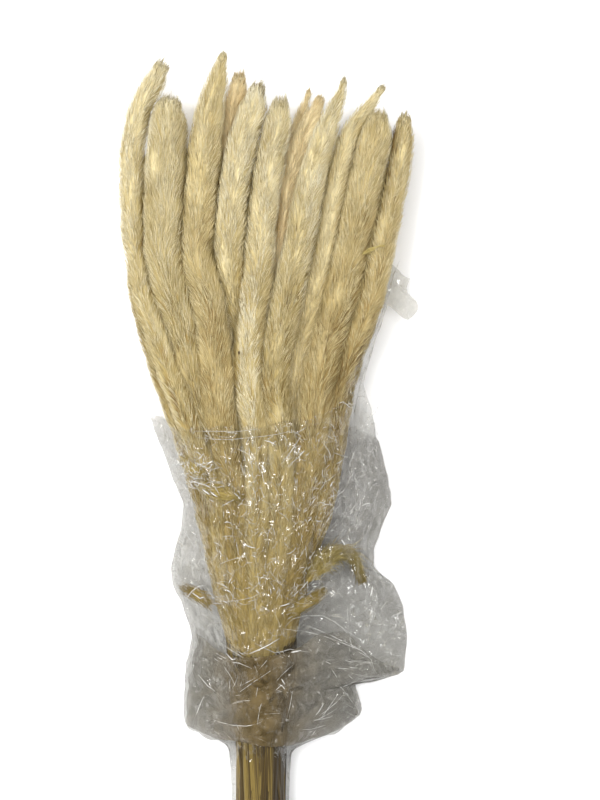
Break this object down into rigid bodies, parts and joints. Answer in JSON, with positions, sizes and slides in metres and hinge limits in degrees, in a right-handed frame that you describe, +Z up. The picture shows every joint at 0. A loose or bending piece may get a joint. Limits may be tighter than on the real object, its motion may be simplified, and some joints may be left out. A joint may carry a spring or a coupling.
{
  "type": "bundle of pampas grass",
  "caption": "Fanned bundle of dried pampas plumes on long cut stems, lying flat, held together by a loose crumpled sleeve of clear film round its lower half.",
  "frame": {"origin": "middle of the bundle's footprint, on the surface that it lies on", "axes": "+Y from the cut stem ends to the plume tips, +X to the right seen from above, +Z up from the surface"},
  "size_m": [0.238, 0.807, 0.0707],
  "materials": {
    "cream_hair": "fine silky dried hair, cream, matt with a faint sheen",
    "straw_hair": "fine silky dried hair, straw yellow, matt with a faint sheen",
    "tan_hair": "fine silky dried hair, warm tan, matt with a faint sheen",
    "olive_hair": "dried hair, olive straw, matt",
    "stem": "dried grass cane, ochre and olive, satin, striped along its length",
    "film": "clear crumpled wrapping film, glossy"
  },
  "bodies": {
    "root": {"plume_01": "cream_hair", "plume_02": "cream_hair", "plume_03": "straw_hair", "plume_04": "tan_hair", "plume_05": "cream_hair", "plume_06": "cream_hair", "plume_07": "tan_hair", "plume_08": "cream_hair", "plume_09": "straw_hair", "plume_10": "straw_hair", "plume_11": "straw_hair", "plume_12": "cream_hair", "plume_13": "straw_hair", "plume_14": "cream_hair", "plume_15": "straw_hair", "plume_16": "cream_hair", "plume_17": "straw_hair", "plume_18": "tan_hair", "plume_19": "straw_hair", "plume_20": "cream_hair", "plume_21": "straw_hair", "plume_22": "cream_hair", "plume_23": "straw_hair", "stem_01": "stem", "stem_02": "stem", "stem_03": "stem", "stem_04": "stem", "stem_05": "stem", "stem_06": "stem", "stem_07": "stem", "stem_08": "stem", "stem_09": "stem", "stem_10": "stem", "stem_11": "stem", "stem_12": "stem", "stem_13": "stem", "stem_14": "stem", "stem_15": "stem", "stem_16": "stem", "stem_17": "stem", "stem_18": "stem", "stem_19": "stem", "stem_20": "stem", "stem_21": "stem", "stem_22": "stem", "stem_23": "stem", "side_spray": "olive_hair", "film_sleeve": "film"}
  },
  "joints": []
}
